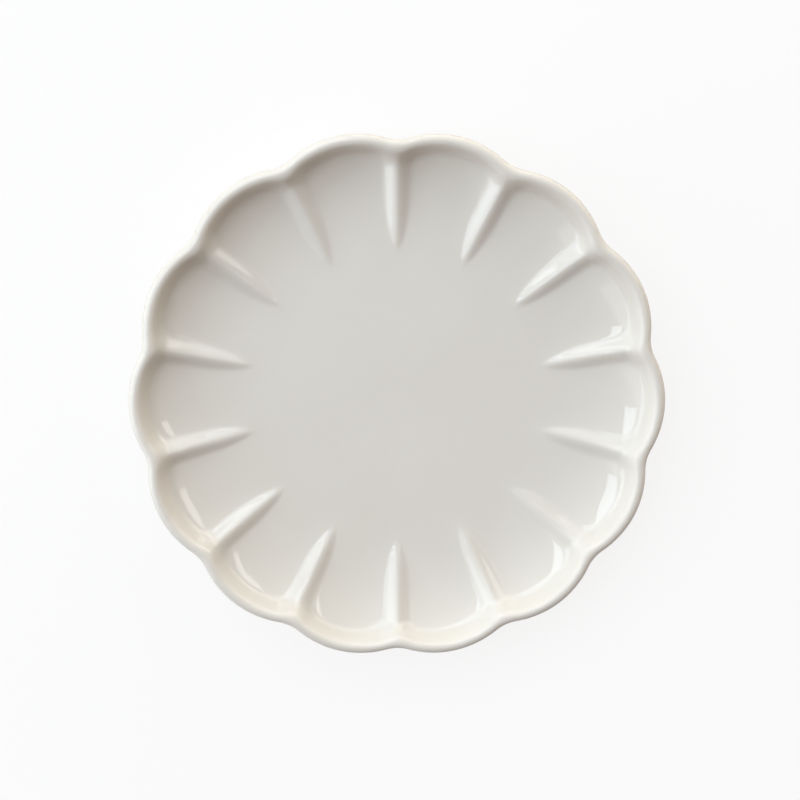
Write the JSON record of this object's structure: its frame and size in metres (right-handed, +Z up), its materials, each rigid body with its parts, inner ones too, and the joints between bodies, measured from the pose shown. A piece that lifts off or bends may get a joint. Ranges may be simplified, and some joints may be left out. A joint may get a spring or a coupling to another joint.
{
  "type": "scalloped dessert plate",
  "caption": "Round glazed stoneware dessert plate with a flat well, a ring of shallow petals parted by low ribs, a rounded scalloped rim and a bare foot ring.",
  "frame": {"origin": "on the table under the centre of the well, in the plane of the foot ring's standing face", "axes": "+Z up along the plate's axis, +X towards a petal tip, +Y towards the rib between two petals"},
  "size_m": [0.21, 0.2066, 0.0225],
  "materials": {
    "clay": "bare fired stoneware, fine and matte",
    "glaze": "glossy ivory white glaze"
  },
  "bodies": {
    "root": {"clay_body": "clay", "foot_ring": "clay", "face_glaze": "glaze", "back_glaze": "glaze", "base_glaze": "glaze"}
  },
  "joints": []
}
